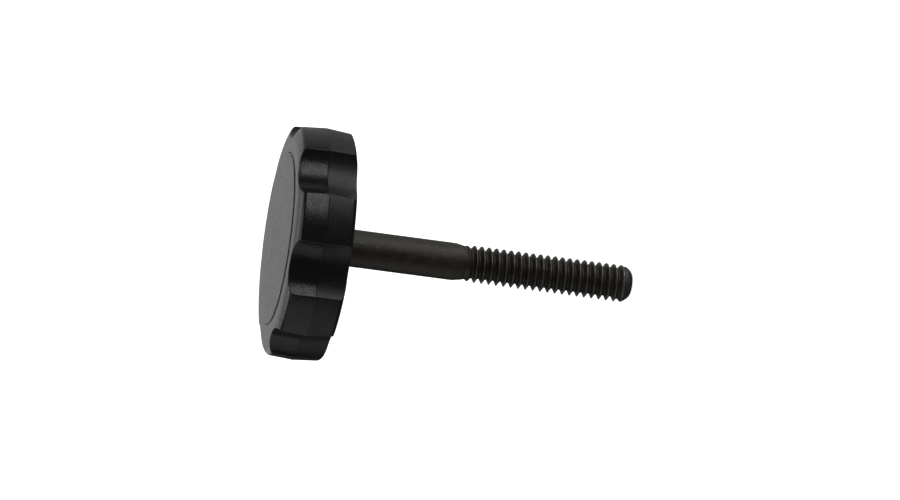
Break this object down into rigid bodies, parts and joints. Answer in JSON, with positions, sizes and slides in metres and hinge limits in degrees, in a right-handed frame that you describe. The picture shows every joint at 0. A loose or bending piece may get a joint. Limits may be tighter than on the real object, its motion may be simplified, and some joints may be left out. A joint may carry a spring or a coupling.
{
  "type": "clamping knob with threaded stud",
  "caption": "Round fluted plastic hand knob with a textured snap-in face cap and a steel stud: a plain shank that ends in a fine-pitched thread with a rounded tip.",
  "frame": {"origin": "on the stud's axis, at the hub's seating face, where the stud leaves the knob", "axes": "+Z along the stud's axis, out of the knob's face; the stud points along -Z; one lobe points along -Y"},
  "size_m": [0.0398, 0.0393, 0.0612],
  "materials": {
    "knob_plastic": "moulded black plastic, semi-gloss rim",
    "cap_plastic": "fine speckled matte texture",
    "black_oxide_steel": "black oxide, worn on the thread's crests"
  },
  "bodies": {
    "root": {"knob_body": "knob_plastic", "face_cap": "cap_plastic", "threaded_stud": "black_oxide_steel"}
  },
  "joints": []
}
